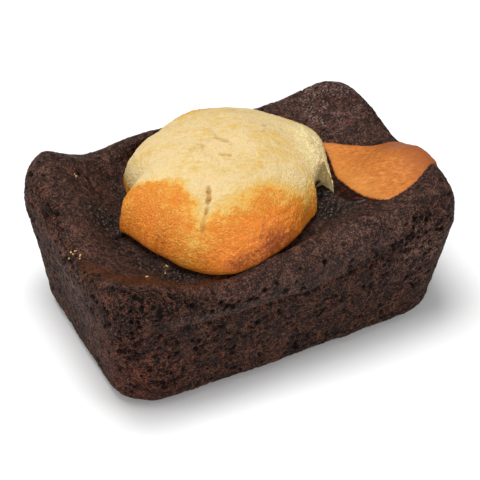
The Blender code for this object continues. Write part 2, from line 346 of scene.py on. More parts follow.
loaf = {
    "length": 96, "width": 63, "shoulder": 28.5, "limitX": 48.5, "limitY": 32.55,
    "waist": 0.9, "waistSpot": (-46, 4, 17), "waistReach": 13,
    "shoulderCorner": 9, "footCorner": 12, "cornerShrink": 0.6,
    "taper": 3.3, "footRounding": 4, "bulge": 0.7,
    "wave": 14, "waveHeight": 0.35,
    "foldHeight": 25.6, "foldRise": 2.2, "foldFade": (0.45, 0.85),
    "foldWander": 0.35, "foldWanderSize": 7, "foldShake": 0.12, "foldShakeSize": 1.6,
    "rimHeight": 35, "rimInset": 5.2, "rimFullness": 2.7,
    "domeCentre": (-3.2, 0.5), "lipClearance": 0.4,
    "furrow": 31.5, "furrowRise": 1.8, "furrowDepth": 0.8, "hollow": 0.75,
    "floorReach": 15,
    "longSteps": 240, "shortSteps": 140, "cornerSteps": 46,
}
rimLifts = {  # where the rim stands higher or lower: x, y, how much and reach
    "back left corner": (-41, 26, 6.6, 11),
    "left end, back half": (-44, 12, 2.0, 10),
    "flake at the back left": (-39.4, 26.6, 0.7, 1.3), "flake beside it": (-45, 22.5, 0.8, 1.6),
    "back dip near that corner": (-30, 27, -0.8, 8),
    "back swell": (-12, 27, 2.9, 12),
    "back dip behind the dome": (18, 27, -0.6, 9),
    "back right corner": (41, 26, 2.9, 11),
    "right end, back half": (43, 15, 1.4, 7),
    "right end dip": (43, 2, -1.6, 7),
    "swell under the patch": (43, -11, 3.6, 8),
    "front right corner": (40, -24, 3.4, 12),
    "front swell": (18, -26, 2.0, 11),
    "front sag": (-18, -26, -3.2, 14),
    "front left corner": (-41, -25, 2.6, 9),
}
# the fold's height at places in x along the front wall
frontFold = ((-48, 27.8), (-35, 27), (-26, 26.3), (-15, 25.6), (-4, 25.3), (4, 25.4), (11, 26.4),
             (19, 27.6), (28, 28.3), (48, 28.6))


def stationRing():
    # for each station round the loaf: which corner it leans on, and the way out from it
    stations = []
    sides = ((1, -1, 1, 1, 0, "shortSteps"), (1, 1, -1, 1, 90, "longSteps"),
             (-1, 1, -1, -1, 180, "shortSteps"), (-1, -1, 1, -1, 270, "longSteps"))
    for startX, startY, endX, endY, facing, steps in sides:
        for share in np.arange(loaf[steps]) / loaf[steps]:
            stations.append((mix(startX, endX, share), mix(startY, endY, share), facing))
        for share in np.arange(loaf["cornerSteps"]) / loaf["cornerSteps"]:
            stations.append((endX, endY, facing + 90 * share))
    leanX, leanY, turn = np.array(stations).T
    return leanX, leanY, np.cos(np.radians(turn)), np.sin(np.radians(turn))


leanX, leanY, outX, outY = stationRing()


def outlineAt(height, inset=0.0):  # the loaf's tapered outline in plan, at every station
    share = np.clip(height / loaf["shoulder"], 0, 1)
    narrower = loaf["taper"] * (1 - share) + inset
    radius = mix(loaf["footCorner"], loaf["shoulderCorner"], share) - inset * loaf["cornerShrink"]
    x = leanX * (loaf["length"] / 2 - narrower - radius) + outX * radius
    y = leanY * (loaf["width"] / 2 - narrower - radius) + outY * radius
    return x, y


def wallPoints(height, push):  # points of the wall at a height, pushed outwards
    x, y = outlineAt(height)
    points = np.stack(np.broadcast_arrays(x, y, height), axis=-1).astype(float)
    middle = np.cos(math.pi / 2 * x / (loaf["length"] / 2)) * abs(outY)
    push = push + loaf["bulge"] * middle + loaf["waveHeight"] * grain(points, loaf["wave"])
    push = push - loaf["waist"] * bell(points, loaf["waistSpot"], loaf["waistReach"])
    points[..., 0] += outX * push
    points[..., 1] += outY * push
    return points


def foldLine():
    # the height of the fold at each station, and how strong it is there
    x, y = outlineAt(loaf["shoulder"])
    height = loaf["foldHeight"] + loaf["foldRise"] * (x / (loaf["length"] / 2)) ** 2
    front = band(-outY, 0.3, 0.9)
    height = mix(height, np.interp(x, *zip(*frontFold)), front)
    here = np.stack([x, y, height], axis=-1)
    height = height + loaf["foldWander"] * grain(here, loaf["foldWanderSize"], 3.3)
    height = height + loaf["foldShake"] * grain(here, loaf["foldShakeSize"], 8.1)
    corner = np.minimum(abs(x) / (loaf["length"] / 2), abs(y) / (loaf["width"] / 2))
    return height, 1 - band(corner, *loaf["foldFade"])


foldHeight, foldStrength = foldLine()

# the dome's form; its lip is a radius at each angle in degrees from +X, counterclockwise, and the notch is how
# far the tear cuts into it there

dome = {
    "lip": ((0, 28.6), (6, 29.9), (12, 30.8), (17, 29.8), (24, 28.7), (32, 28.3), (40, 28.2), (50, 28.2),
            (65, 28.5), (80, 28.3), (90, 28.0), (100, 27.5), (110, 27.1), (120, 26.9), (130, 26.8),
            (138, 26.9), (145, 25.9), (150, 24.9), (154, 23.8), (160, 23.1), (164.5, 23.2), (167.5, 25.6),
            (170, 27.6), (174, 28.8), (178, 28.9), (181, 27.8), (190, 27.0), (200, 26.9), (210, 26.8),
            (220, 28.0), (230, 28.8), (238, 29.2), (247, 29.0), (255, 27.9), (266, 26.1), (277, 24.7),
            (290, 23.7), (300, 23.2), (311, 22.9), (317, 23.8), (321, 24.3), (326, 24.6), (333, 25.4),
            (340, 26.6), (346, 27.4), (356, 28.1)),
    "notch": ((315, 0), (319, 1.2), (323, 4.0), (330, 5.0), (336, 5.2), (340, 4.2), (344, 2.6), (348, 0.6),
              (352, 0)),
    "crown": 51.0, "lipRise": 2.6, "fullness": 2.3, "overhang": 0.7, "lobeFade": 3, "notchFade": 18,
    "underReach": 5.0, "underLow": -2.2, "underHigh": 0.9, "underRows": 8, "rollRows": 7,
    "columns": 640, "rows": 112,
    "edgeRing": 26, "edgeGrain": ((0.5, 2.6, 2.5), (0.45, 1.1, 4.5), (0.2, 0.5, 6.5)),  # depth, size, shift
    "tearEdge": (316, 322, 350, 356), "tearRagged": 0.9,  # the angles where the lip is more ragged
    "flapEdge": (160, 166, 180, 186), "flapRagged": 1.2,
    "waves": 0.45, "waveSize": 9, "smallWaves": 0.35, "smallWaveSize": 4,
    "pebbles": 0.14, "pebbleSize": 0.9, "bakedPebbles": 1.3, "swells": 0.12, "swellSize": 2.0, "sunk": 0.1,
    "wrinkles": 0.35, "wrinkleSize": 1.1, "wrinkleSpot": (-3, -24, 40), "wrinkleReach": 10,
    "tornCrumb": 0.22, "tornCrumbSize": 0.8, "tornLumps": 0.35, "tornLumpSize": 2.4,
}


def roundTable(table, angle):  # reads a table of angles and values, with its corners softened
    turns, values = np.array(table).T
    turns = np.concatenate([turns - 360, turns, turns + 360])
    values = np.tile(values, 3)
    around = np.degrees(angle)[..., None] % 360 + np.array([-2.4, -1.2, 0, 1.2, 2.4])
    return (np.interp(around, turns, values) * np.array([0.12, 0.22, 0.32, 0.22, 0.12])).sum(-1)


def lipRadius(angle):
    return roundTable(dome["lip"], angle) - roundTable(dome["notch"], angle)


def held(points):  # keeps the last mm of the walls inside the loaf's box
    for axis, limit in ((0, loaf["limitX"]), (1, loaf["limitY"])):
        beyond = np.maximum(abs(points[..., axis]) - limit + 1, 0)
        points[..., axis] = np.sign(points[..., axis]) * (abs(points[..., axis]) - beyond + np.tanh(beyond))
    return points


def furrowHeight(x):  # the furrow round the dome climbs towards the right end
    return loaf["furrow"] + loaf["furrowRise"] * x / (loaf["length"] / 2)


def evenQuarter(steps, inset, rise, fullness):
    # a quarter of a superellipse in even steps: the shares of the way in and of the way up
    turn = np.linspace(0, math.pi / 2, 600)
    inward = 1 - np.cos(turn) ** (2 / fullness)
    upward = np.sin(turn) ** (2 / fullness)
    inward[-1], upward[-1] = 1, 1
    length = np.append(0, np.cumsum(np.hypot(np.diff(inward) * inset, np.diff(upward) * rise)))
    even = np.linspace(0, length[-1], steps + 1)[1:]
    return np.interp(even, length, inward), np.interp(even, length, upward)


farFromPatch = 9.0  # the distance to the vanilla patch counts up to here
patchLowest = 31.6  # how far down the patch runs over the right rim


# piece 1: the porous wall, from the base up to the fold

wall = {  # each spot has an amount, a place and a reach
    "baseRows": 10, "footRows": 14, "rows": 76, "sinkRows": 4, "baseInset": 26,
    "sinkRise": 1.2, "sinkDepth": 1.1, "groove": 0.8, "grooveBelow": (2.2, 0.4),
    "crumb": 0.17, "crumbSize": 1.1, "lumps": 0.22, "lumpSize": 3.2,
    "pores": 0.2, "poreDrift": 0.25, "poreDriftSize": 6, "poresOnBase": 0.25,
    "poresFrontLeft": (0.8, (-41, -30, 18), 13), "poresFrontRight": (0.7, (42, -28, 22), 13),
    "warmCorner": (1, (-43, -28), 10), "warmEnd": (0.5, (-46, -18), 9),
}
wallPore = {"tries": 5200, "smallest": 0.36, "largest": 0.85, "rarity": 2.2, "squash": (0.9, 1.8),
            "depth": (0.9, 1.4), "steepness": 2.6, "warp": 0.5, "warpSize": 0.6}
paleSpots = {  # where the crust is lighter: x, y, z, reach and how much
    "left end": (-49, -2, 23, 9, 0.9), "front right, under the rim": (35, -31.5, 26.5, 8, 1.0),
    "front right rim": (17, -27, 37, 6, 0.6),
}


def paleAt(points):  # how pale the crust is
    amount = np.max([more * bell(points, (x, y, z), reach)
                     for x, y, z, reach, more in paleSpots.values()], axis=0)
    return amount * (0.8 + 0.5 * grain(points, 4, 6.6))


def makeWall():
    foot = loaf["footRounding"]
    top = foldHeight[None, :]
    base = np.linspace(wall["baseInset"], foot + 0.6, wall["baseRows"])[:, None]
    baseX, baseY = outlineAt(0.0 * base, base)
    basePoints = np.stack(np.broadcast_arrays(baseX, baseY, 0.0 * baseX), axis=-1)
    turn = np.linspace(0, math.pi / 2, wall["footRows"])[:, None] + 0 * top
    footPoints = wallPoints(foot * (1 - np.cos(turn)), -foot * (1 - np.sin(turn)))
    share = np.linspace(0, 1, wall["rows"] + 1)[1:, None]
    height = mix(foot, top, share)
    grooveLow, grooveHigh = wall["grooveBelow"]
    groove = -wall["groove"] * foldStrength * band(height, top - grooveLow, top - grooveHigh)
    wallPart = wallPoints(height, groove)
    rise = np.linspace(0, 1, wall["sinkRows"] + 1)[1:, None]
    sinkPush = -wall["groove"] * foldStrength - wall["sinkDepth"] * rise
    sinkPart = wallPoints(top + wall["sinkRise"] * rise, sinkPush)
    points = np.concatenate([basePoints, footPoints, wallPart, sinkPart])

    normals = gridNormals(points)
    z = points[..., 2]
    front = band(-outY, 0.2, 0.9)[None, :]
    likely = wall["pores"] + wall["poreDrift"] * grain(points, wall["poreDriftSize"], 5.5)
    more, spot, reach = wall["poresFrontLeft"]
    likely = likely + more * front * bell(points, spot, reach)
    more, spot, reach = wall["poresFrontRight"]
    likely = likely + more * bell(points, spot, reach)
    likely = likely * band(z, 0.05, 0.6) + wall["poresOnBase"] * (z <= 0.05)
    sink, inside = scatterPores(points, likely, wallPore)
    crumb = wall["crumb"] * roughGrain(points, wall["crumbSize"], 2.2)
    crumb = crumb + wall["lumps"] * grain(points, wall["lumpSize"], 7.7)
    crumb = crumb * band(z, 0.0, 0.8)
    points = points + normals * (crumb - sink)[..., None]
    points[..., 2] = np.maximum(points[..., 2], 0.0)
    points = held(points)
    amount, spot, reach = wall["warmCorner"]
    warm = amount * bell(points, spot, reach) * (1 - 0.5 * band(z, 14, 26))
    amount, spot, reach = wall["warmEnd"]
    warm = warm + amount * bell(points, spot, reach)
    fields = {name: 0 * inside for name in ("skin", "moist", "glaze", "glintsAndCrust", "syrup")}
    fields |= {"pore": inside, "patch": 0 * inside + farFromPatch, "warm": warm, "pale": paleAt(points)}
    return gridMesh("chocolateWall", points, fields)


# piece 2: the top of the loaf, with the band over the fold, the rim, the hollow and the floor under the dome

top = {
    "emergeRows": 5, "bandRows": 4, "rimRows": 34, "rimRise": 8, "hollowRows": 46,
    "floorRows": 8, "floorHeight": 31.5,
    "emerge": ((-0.8, -1.3), (-0.3, -0.55), (0.1, -0.02), (0.5, 0.06)),  # height over the fold, and way out
    "lip": 0.65,  # how far the band over the fold stands out
    "crumb": 0.16, "crumbSize": 1.1, "skinWaves": 0.2, "skinWaveSize": 3.4,
    "skinGrain": 0.05, "wetLumps": 0.45, "patchRise": 0.4, "grooveWander": 0.35,
    "pores": 0.5, "poreDrift": 0.4, "poreDriftSize": 7, "poresOnSkin": 0.03, "poresFrontMiddle": 0.12,
    "glintsAndCrustSpots": ((36, 21, 9, 1), (24, 26, 8, 0.35)), "warm": (0.4, (-44, 6), 14),
}
topPore = {**wallPore, "squash": (0.8, 1.5)}
patchOutline = softOutline([  # the vanilla patch beside the dome, in plan
    (28.4, 9.4), (29.6, 8.6), (33.7, 5.3), (39.9, 1.6), (44.5, 0.4), (50, -0.6), (50, -15.7),
    (46.8, -16.8), (41.5, -19.8), (36.2, -22.2), (31.6, -23.4), (28.0, -22.6), (25.9, -19.0),
    (24.9, -14.4), (24.5, -9.6), (24.9, -5.0), (26.0, -1.8), (27.7, 3.0),
])
moistSpots = {  # x, y, reach and how moist
    "left of the dome": (-32.5, 7, 6, 0.85), "beside the crevice": (-34.5, -4, 5, 0.7),
    "front left of the dome": (-31, -12, 6.5, 0.8), "front left furrow": (-26, -20, 5.5, 1.0),
    "front furrow": (-14, -26, 3, 0.7), "torn hollow": (18, -9, 6, 1.0), "right furrow": (17, -16, 5.5, 1.0),
    "front right furrow": (9, -22, 3.5, 0.8), "back left furrow": (-26, 18, 4, 0.5),
    "back right furrow": (22, 14, 4, 0.35),
}
glazePath = [(-45.5, -9.9), (-43, -17), (-39, -21.5), (-35, -22.7), (-25, -24.8), (-14, -25.2)]
syrupPath = [(28.5, 9.6), (27.6, 5.4), (25.9, 0), (24.4, -3.7), (23.2, -7.7), (23.0, -11.5), (23.7, -14.8),
             (25.2, -18.2), (27.6, -21.2)]
grooves = {  # a path in x and y, its depth and half its width
    "crevice left of the dome": ([(-30.5, 2.4), (-32.8, 1.4), (-34.2, 1.2)], 0.7, 0.8),
    "crease right of the dome": ([(12.5, -20.1), (17.3, -18.2), (21.6, -18.1), (25.1, -19.5), (26.7, -23)],
                                 0.35, 0.6),
    "scratch at the back left": ([(-36.4, 21.1), (-35.6, 19.9), (-34.8, 18.8)], 0.45, 0.3),
    "crease at the left end": ([(-40, 6), (-37.5, 1.5), (-38.5, -3.5), (-36.5, -8)], 0.2, 0.8),
}


def makeTop():
    fold = foldHeight[None, :]
    strength = foldStrength[None, :]
    heights, pushes = zip(*top["emerge"])
    emerge = np.linspace(heights[0], heights[-1], top["emergeRows"] + 1)[:, None]
    emergePush = np.interp(emerge, heights, pushes)
    emergePush = emergePush + top["lip"] * strength * band(emerge, -0.4, 0.5)
    rise = np.linspace(heights[-1], heights[-1] + 1, top["bandRows"] + 1)[1:, None]
    lower = wallPoints(fold + emerge, emergePush)
    banded = wallPoints(fold + rise, top["lip"] * strength + 0 * rise)
    start = banded[-1]

    crestX, crestY = outlineAt(loaf["shoulder"], loaf["rimInset"])
    crest = np.stack([crestX, crestY, 0 * crestX + loaf["rimHeight"]], axis=-1)
    for x, y, lift, reach in rimLifts.values():
        crest[:, 2] += lift * bell(crest, (x, y), reach)
    inward, upward = evenQuarter(top["rimRows"], loaf["rimInset"], top["rimRise"], loaf["rimFullness"])
    rim = np.stack([
        mix(start[:, 0], crest[:, 0], inward[:, None]),
        mix(start[:, 1], crest[:, 1], inward[:, None]),
        mix(start[:, 2], crest[:, 2], upward[:, None]),
    ], axis=-1)

    centreX, centreY = loaf["domeCentre"]
    across, along = crest[:, 0] - centreX, crest[:, 1] - centreY
    angle, reach = np.arctan2(along, across), np.hypot(across, along)
    lip = np.minimum(lipRadius(angle), reach - loaf["lipClearance"])
    furrow = np.minimum(furrowHeight(crest[:, 0]), crest[:, 2] - loaf["furrowDepth"])
    share = np.linspace(0, 1, top["hollowRows"] + 1)[1:, None]
    radius = mix(reach, lip, share)
    fall = mix(share, ease(share), loaf["hollow"])
    hollow = np.stack([centreX + radius * np.cos(angle), centreY + radius * np.sin(angle),
                       mix(crest[:, 2], furrow, fall)], axis=-1)
    share = np.linspace(0, 1, top["floorRows"] + 1)[1:, None]
    radius = mix(lip, loaf["floorReach"], share)
    floor = np.stack([centreX + radius * np.cos(angle), centreY + radius * np.sin(angle),
                      mix(furrow, top["floorHeight"], share)], axis=-1)
    points = np.concatenate([lower, banded, rim, hollow, floor])

    rimStart = len(lower) + len(banded)
    rows = np.arange(len(points))[:, None] + 0.0 * points[..., 0]
    crestRow = rimStart + top["rimRows"]
    x, y, z = points[..., 0], points[..., 1], points[..., 2]
    front = band(-outY, 0.3, 0.9)[None, :]
    frontMiddle = front * between(x, -30, -12, 24, 36)
    upRim = (rows - rimStart) / top["rimRows"]
    frontLeft = band(-outY, -0.2, 0.5)[None, :] * (1 - band(x, -34, -12))
    edge = 0.74 + 0.2 * frontLeft - 0.55 * frontMiddle + 0.14 * grain(points, 5, 1.1)
    # along the fold's ridge on the front the skin is laid on, partly as real smooth skin and partly as a
    # painted highlight of the ridge, lighter than the crumb
    ridge = front * between(x, -42, -28, 6, 26)
    skin = np.maximum(band(upRim, edge - 0.2, edge + 0.12), 0.9 * ridge * (1 - band(upRim, 0.04, 0.26)))
    likely = (top["pores"] + top["poreDrift"] * grain(points, top["poreDriftSize"], 5.5)) * (1 - skin)
    likely = likely + top["poresOnSkin"] * skin
    likely = likely + top["poresFrontMiddle"] * frontMiddle * (1 - band(upRim, 0.5, 0.8))
    patch = np.maximum(signedDistance(points, patchOutline), patchLowest - z)
    patch = np.where(rows < rimStart, farFromPatch, np.clip(patch, -farFromPatch, farFromPatch))
    likely = likely * band(patch, 0.2, 0.8)
    likely[:4] = 0
    sink, inside = scatterPores(points, likely, topPore)

    moist = np.max([amount * bell(points, (spotX, spotY), reachOut)
                    for spotX, spotY, reachOut, amount in moistSpots.values()], axis=0)
    moist = moist * band(rows, crestRow - 2, crestRow + 8)
    gap = distanceToPath(points, glazePath) + 0.8 * grain(points, 3, 4.4)
    glaze = (1 - band(gap, 0.9, 3.2)) * band(upRim, 0.3, 0.7)
    wide = between(-y, 2, 7, 16, 21)
    gap = distanceToPath(points, syrupPath) + 0.6 * grain(points, 2.2, 6.1)
    syrup = 1 - band(gap, 0.4 + 1.3 * wide, 1.2 + 1.4 * wide)
    syrup = syrup * band(rows, crestRow - 4, crestRow + 4)
    # the rough crust at the back right; the material paints its specks whitish, as painted glints
    glintsAndCrust = np.max([amount * bell(points, (spotX, spotY), reachOut)
                   for spotX, spotY, reachOut, amount in top["glintsAndCrustSpots"]], axis=0)
    glintsAndCrust = glintsAndCrust * band(upRim, 0.4, 0.8)

    normals = gridNormals(points)
    crumb = top["crumb"] * roughGrain(points, top["crumbSize"], 2.2) * (1 - 0.8 * skin)
    waves = top["skinWaves"] * grain(points, top["skinWaveSize"], 9.9)
    waves = waves + top["skinGrain"] * roughGrain(points, top["crumbSize"], 4.2) * skin
    wet = top["wetLumps"] * np.maximum(moist, 0.6 * glintsAndCrust) * roughGrain(points, top["crumbSize"], 12.1)
    raised = top["patchRise"] * (1 - band(patch, -0.7, 0.15))
    cut = np.zeros(x.shape)
    wander = top["grooveWander"] * grain(points, 1.3, 7.3)
    for path, depth, half in grooves.values():
        gap = distanceToPath(points, path) + wander
        cut = np.maximum(cut, depth * (1 - band(gap, 0.2 * half, 1.6 * half)))
    cut = cut * band(upRim, 0.3, 0.6)
    push = (crumb + waves) * (1 - 0.5 * syrup) + wet * (1 - syrup) + raised - cut - sink
    points = held(points + normals * push[..., None])
    # the grooves count as pores too, so they get the same painted shade
    inside = np.maximum(inside, band(cut, 0.15, 0.6))
    amount, spot, reachOut = top["warm"]
    warm = amount * bell(points, spot, reachOut)
    fields = {"pore": inside, "skin": skin, "moist": moist, "glaze": glaze, "glintsAndCrust": glintsAndCrust, "patch": patch,
              "syrup": syrup, "warm": warm, "pale": paleAt(points)}
    return gridMesh("chocolateTop", points, fields), points


# piece 3: the vanilla dome

domePulls = {  # x and y of a spot on the lip, how far it is pulled in x, y and z, and its reach
    "tongue on the right": (24.0, -3.4, -3.0, -7.6, -1.6, 2.8),
    "left flap": (-31.0, 4.0, -0.6, -1.6, -0.8, 1.2),
}
domeDents = {  # x, y, depth and reach; a bump has a depth below 0
    "left nick": (-27, 7.6, 5.0, 2.4), "back left dimple": (-12, 12, 0.6, 4), "right dimple": (8, -14, 0.4, 5),
    "step at the back": (-8.5, 17.5, 0.8, 2.2), "flap at the back": (-2.5, 21.5, -0.5, 2.5),
    "back left shoulder": (-13.5, 23.2, 4.0, 3.6), "shallow top": (-8, -2, 0.5, 3),
    "soft ridge": (2, -6, -0.4, 4),
}
crackPath = [(-13.7, -10.6), (-14.1, -12.2), (-15.1, -13.9), (-16.2, -15.4), (-17.7, -16.9), (-18.6, -18.2),
             (-19.8, -19.3), (-21, -21)]
crackPits = (  # where the crack is open: x, y and reach
    (-14.1, -11.8, 1.2), (-15.0, -13.7, 1.4), (-16.6, -15.8, 0.9), (-18.7, -18.3, 2.1),
)
smallCracks = (
    [(-8.2, 2.9), (-7.0, 2.3)], [(-11.4, 1.3), (-10.4, 2.1), (-9.4, 1.6), (-9.2, 0.8)],
    [(-5.0, 2.4), (-3.5, 0.6), (-2.9, -1.6)], [(-7.2, -3.6), (-5.0, -5.2)],
    [(8.6, 3.0), (8.0, 1.4), (7.0, 0.1)], [(-13.4, 3.0), (-12.6, 1.4)],
)
cracks = {  # depths and widths in mm, and where in y the crack fades out
    "valley": 0.6, "valleyWidth": 3.0, "depth": 1.2, "betweenPits": 0.25, "fade": (18, 21),
    "smallDepth": 0.3, "smallWander": 1.3, "paleWidth": (0.4, 3.4), "paleFade": (16.5, 20), "pale": 0.5,
}
paintedTearShadeSpots = ((15.4, -11.2, 35.0, 2.8), (17.6, -8.6, 34.4, 2.4))  # painted shade of the dark mouth under the tear, laid on the dome: x, y, z and reach
tornPatch = [(14, -6), (15, 0), (19, 4.5), (25, 3), (27, -4), (22, -12), (15, -12)]


# where the dome is browned, per angle round it: the height below which it is, how softly that begins,
# how brown it is at once, and how much browner with every mm down; that darkening downwards is partly real
# browning and partly painted shade on the lower flanks
bakeEdge = (
    (0, 37.5, 2, 0.5, 0.02), (12, 38.5, 2, 0.5, 0.02), (32, 41, 2, 0.5, 0.02), (50, 38, 3, 0.45, 0.01),
    (80, 37, 3, 0.4, 0.01), (100, 37.8, 2.5, 0.5, 0.01), (125, 38.4, 2, 0.5, 0.01), (140, 37, 2, 0.5, 0.01),
    (158, 36.4, 2, 0.5, 0.01), (168, 38.4, 2.2, 0.5, 0.01), (172, 43.6, 2, 0.46, 0.02),
    (180, 46.0, 1.6, 0.46, 0.024), (190, 47.6, 1.3, 0.46, 0.024), (202, 48.2, 1.4, 0.48, 0.022),
    (211, 48.6, 1.8, 0.46, 0.02), (218, 48.5, 3.4, 0.38, 0.02), (226, 48.5, 5, 0.28, 0.026),
    (234, 48.5, 5, 0.26, 0.032), (242, 48.5, 5, 0.2, 0.048), (255, 50, 4, 0.14, 0.067),
    (275, 50.6, 3.5, 0.17, 0.07), (292, 48.4, 4, 0.15, 0.053), (306, 45.4, 4, 0.13, 0.048),
    (318, 45.2, 5, 0.18, 0.03), (330, 38, 4, 0.2, 0.02), (346, 36, 4, 0.3, 0.01), (360, 37.5, 2, 0.5, 0.02),
)
bakeSpots = {  # x, y, z, reach and how much browner
    "front right flank": (-1, -25, 39, 8, 0.14), "left foot": (-28, -8, 36, 7, 0.1),
    "yellow foot": (-25, -19, 37, 4, -0.1), "yellow shoulder on the right": (8, -5, 48.5, 6, 0.08),
    "yellow top": (4, -9, 50, 5, 0.07), "front": (-12, -27, 37, 7, 0.12),
    "flap at the back": (-3.5, 21.5, 45.5, 3.2, 0.5), "behind it": (2, 20.5, 45.5, 3, 0.35),
    "back right lip": (25, 12, 37, 3.5, 0.3),
}
bakeWander, bakeDepth = 0.9, 14  # how far the browned edge wanders, and how far down the browning, and with it the painted shade, still grows


def browningAndShade(points):  # how brown the dome's crust is, with painted shade darkening it further down the flanks: 0 is pale, and 1.2 is the darkest
    centreX, centreY = loaf["domeCentre"]
    angle = np.degrees(np.arctan2(points[..., 1] - centreY, points[..., 0] - centreX)) % 360
    table = np.array(bakeEdge).T
    edge, softness, jump, slope = (np.interp(angle, table[0], column) for column in table[1:])
    edge = edge + bakeWander * grain(points, 3, 9.4) + 0.4 * grain(points, 1.1, 2.9)
    below = edge - points[..., 2]
    amount = jump * ease(below / softness) + slope * np.clip(below, 0, bakeDepth)
    for x, y, z, reach, more in bakeSpots.values():
        amount = amount + more * bell(points, (x, y, z), reach)
    return np.clip(amount, 0, 1.2)


def makeDome():
    angle = np.arange(dome["columns"]) / dome["columns"] * 2 * math.pi
    radius, notch = lipRadius(angle), roundTable(dome["notch"], angle)
    turned = np.degrees(angle)
    ring = np.stack([np.cos(angle), np.sin(angle), 0 * angle], axis=-1) * dome["edgeRing"]
    ragged = sum(depth * grain(ring, size, shift) for depth, size, shift in dome["edgeGrain"])
    ragged = ragged * (1 + dome["tearRagged"] * between(turned, *dome["tearEdge"])
                       + dome["flapRagged"] * between(turned, *dome["flapEdge"]))
    centreX, centreY = loaf["domeCentre"]
    lipFloor = furrowHeight(centreX + radius * np.cos(angle))
    lipZ = lipFloor + dome["lipRise"]

    # from under the lip, round it, and over to the crown
    under = np.linspace(0, 1, dome["underRows"])[:, None]
    underRadius = radius - mix(dome["underReach"], dome["overhang"], under)
    underZ = lipFloor + mix(dome["underLow"], dome["underHigh"], under)
    roll = np.linspace(0, 1, dome["rollRows"] + 1)[1:, None]
    rollRadius = radius - dome["overhang"] * (1 - np.sin(roll * math.pi / 2)) + ragged * roll
    rollZ = lipFloor + mix(dome["underHigh"], dome["lipRise"], roll)
    turn = np.linspace(0, math.pi / 2, dome["rows"] + 1)[1:-1, None]
    share = np.cos(turn)
    rise = (1 - share ** dome["fullness"]) ** 0.5
    topRadius = mix(radius.mean(), radius + notch, share ** dome["lobeFade"]) * share
    topRadius = topRadius - notch * share ** dome["notchFade"] + ragged * band(share, 0.96, 1.0)
    topZ = mix(lipZ, dome["crown"], rise)
    radii = np.concatenate([underRadius, rollRadius, topRadius])
    heights = np.concatenate([underZ, rollZ, topZ])
    rises = np.concatenate([0 * underRadius, 0 * rollRadius, rise + 0 * topRadius])
    points = np.stack([centreX + radii * np.cos(angle), centreY + radii * np.sin(angle), heights], axis=-1)

    # the waves, the dents and the cracks, pressed down into the top
    plan = points.copy()
    plan[..., 2] = 0
    relief = dome["waves"] * grain(plan, dome["waveSize"])
    relief = relief + dome["smallWaves"] * grain(points, dome["smallWaveSize"], 1.4)
    for x, y, depth, reach in domeDents.values():
        relief = relief - depth * bell(points, (x, y), reach)
    stray = 0.5 * grain(points, 1.7, 5.1) + 0.3 * grain(points, 0.7, 6.3)
    crackGap = distanceToPath(points, crackPath) + stray
    deep = cracks["betweenPits"] * (1 - band(-points[..., 1], *cracks["fade"]))
    for x, y, reach in crackPits:
        deep = np.maximum(deep, bell(points, (x, y), reach))
    crack = cracks["valley"] * (1 - band(crackGap, 0.0, cracks["valleyWidth"]))
    crack = crack + cracks["depth"] * (1 - band(crackGap, -0.2, 0.6)) * deep
    # the cracks are painted darker, most in their open pits: partly the crack's own darker yellow and partly
    # painted shade in it
    crackTintAndShade = (1 - band(crackGap, -0.1, 0.9)) * deep
    for path in smallCracks:
        gap = distanceToPath(points, path) + cracks["smallWander"] * stray
        crack = crack + cracks["smallDepth"] * (1 - band(gap, -0.3, 0.7))
        crackTintAndShade = np.maximum(crackTintAndShade, 0.6 * (1 - band(gap, -0.3, 0.8)))
    points[..., 2] += (relief - crack) * rises

    # the torn right edge, and the two flaps that hang over the furrow
    torn = 1 - band(signedDistance(points, tornPatch) + 1.5 * grain(points, 3, 8.8), -2, 2)
    pulled = np.zeros(points.shape)
    for x, y, *move, reach in domePulls.values():
        pulled = pulled + bell(points, (x, y), reach)[..., None] * np.array(move)
    points = points + pulled * (1 - band(rises, 0.5, 0.8))[..., None]

    besideCrack = 1 - band(crackGap, *cracks["paleWidth"])
    besideCrack = besideCrack * (1 - band(-points[..., 1], *cracks["paleFade"]))
    bakeAndShade = browningAndShade(points) * (1 - torn) * (1 - cracks["pale"] * besideCrack)
    # painted shade: near black on the tear, where the dark mouth under it is
    paintedTearShade = np.max([bell(points, (x, y, z), reach) for x, y, z, reach in paintedTearShadeSpots], axis=0)
    paintedTearShade = band(paintedTearShade + 0.25 * grain(points, 1.6, 2.7) + 0.2 * grain(points, 0.7, 9.2), 0.42, 0.56)

    # the fine crust
    pebbles = dome["pebbles"] * roughGrain(points, dome["pebbleSize"], 3.9) * mix(1, dome["bakedPebbles"], bakeAndShade)
    swells = dome["swells"] * grain(points, dome["swellSize"], 7.1)
    wrinkles = dome["wrinkles"] * grain(points, dome["wrinkleSize"], 5.7, (0.2, 0.2, 1.0))
    wrinkles = wrinkles * bell(points, dome["wrinkleSpot"], dome["wrinkleReach"])
    tears = dome["tornCrumb"] * torn * roughGrain(points, dome["tornCrumbSize"], 16.6)
    tears = tears + dome["tornLumps"] * torn * grain(points, dome["tornLumpSize"], 3.6)
    push = (pebbles + swells + wrinkles + tears - dome["sunk"]) * band(rises, 0.0, 0.2)
    points = points + gridNormals(points) * push[..., None]
    return gridMesh("vanillaDome", points, {"bakeAndShade": bakeAndShade, "crack": crackTintAndShade, "torn": torn, "paintedTearShade": paintedTearShade})


# piece 4: vanilla crumbs fallen on the chocolate

crumbs = {
    "groups": ((-46.2, -4.4, 1.3, 6), (-45.2, -7.2, 1.2, 3), (-27.6, -16.2, 1.0, 2), (-26.2, -13.6, 1.0, 4),
               (-33.6, -19.0, 0.8, 2), (-35.5, 19.6, 0.6, 2)),  # x, y, scatter and how many
    "smallest": 0.08, "largest": 0.24, "sink": 0.4, "squash": (0.6, 1.3), "dent": 0.7, "bakeAndShade": (0.02, 0.25),
}


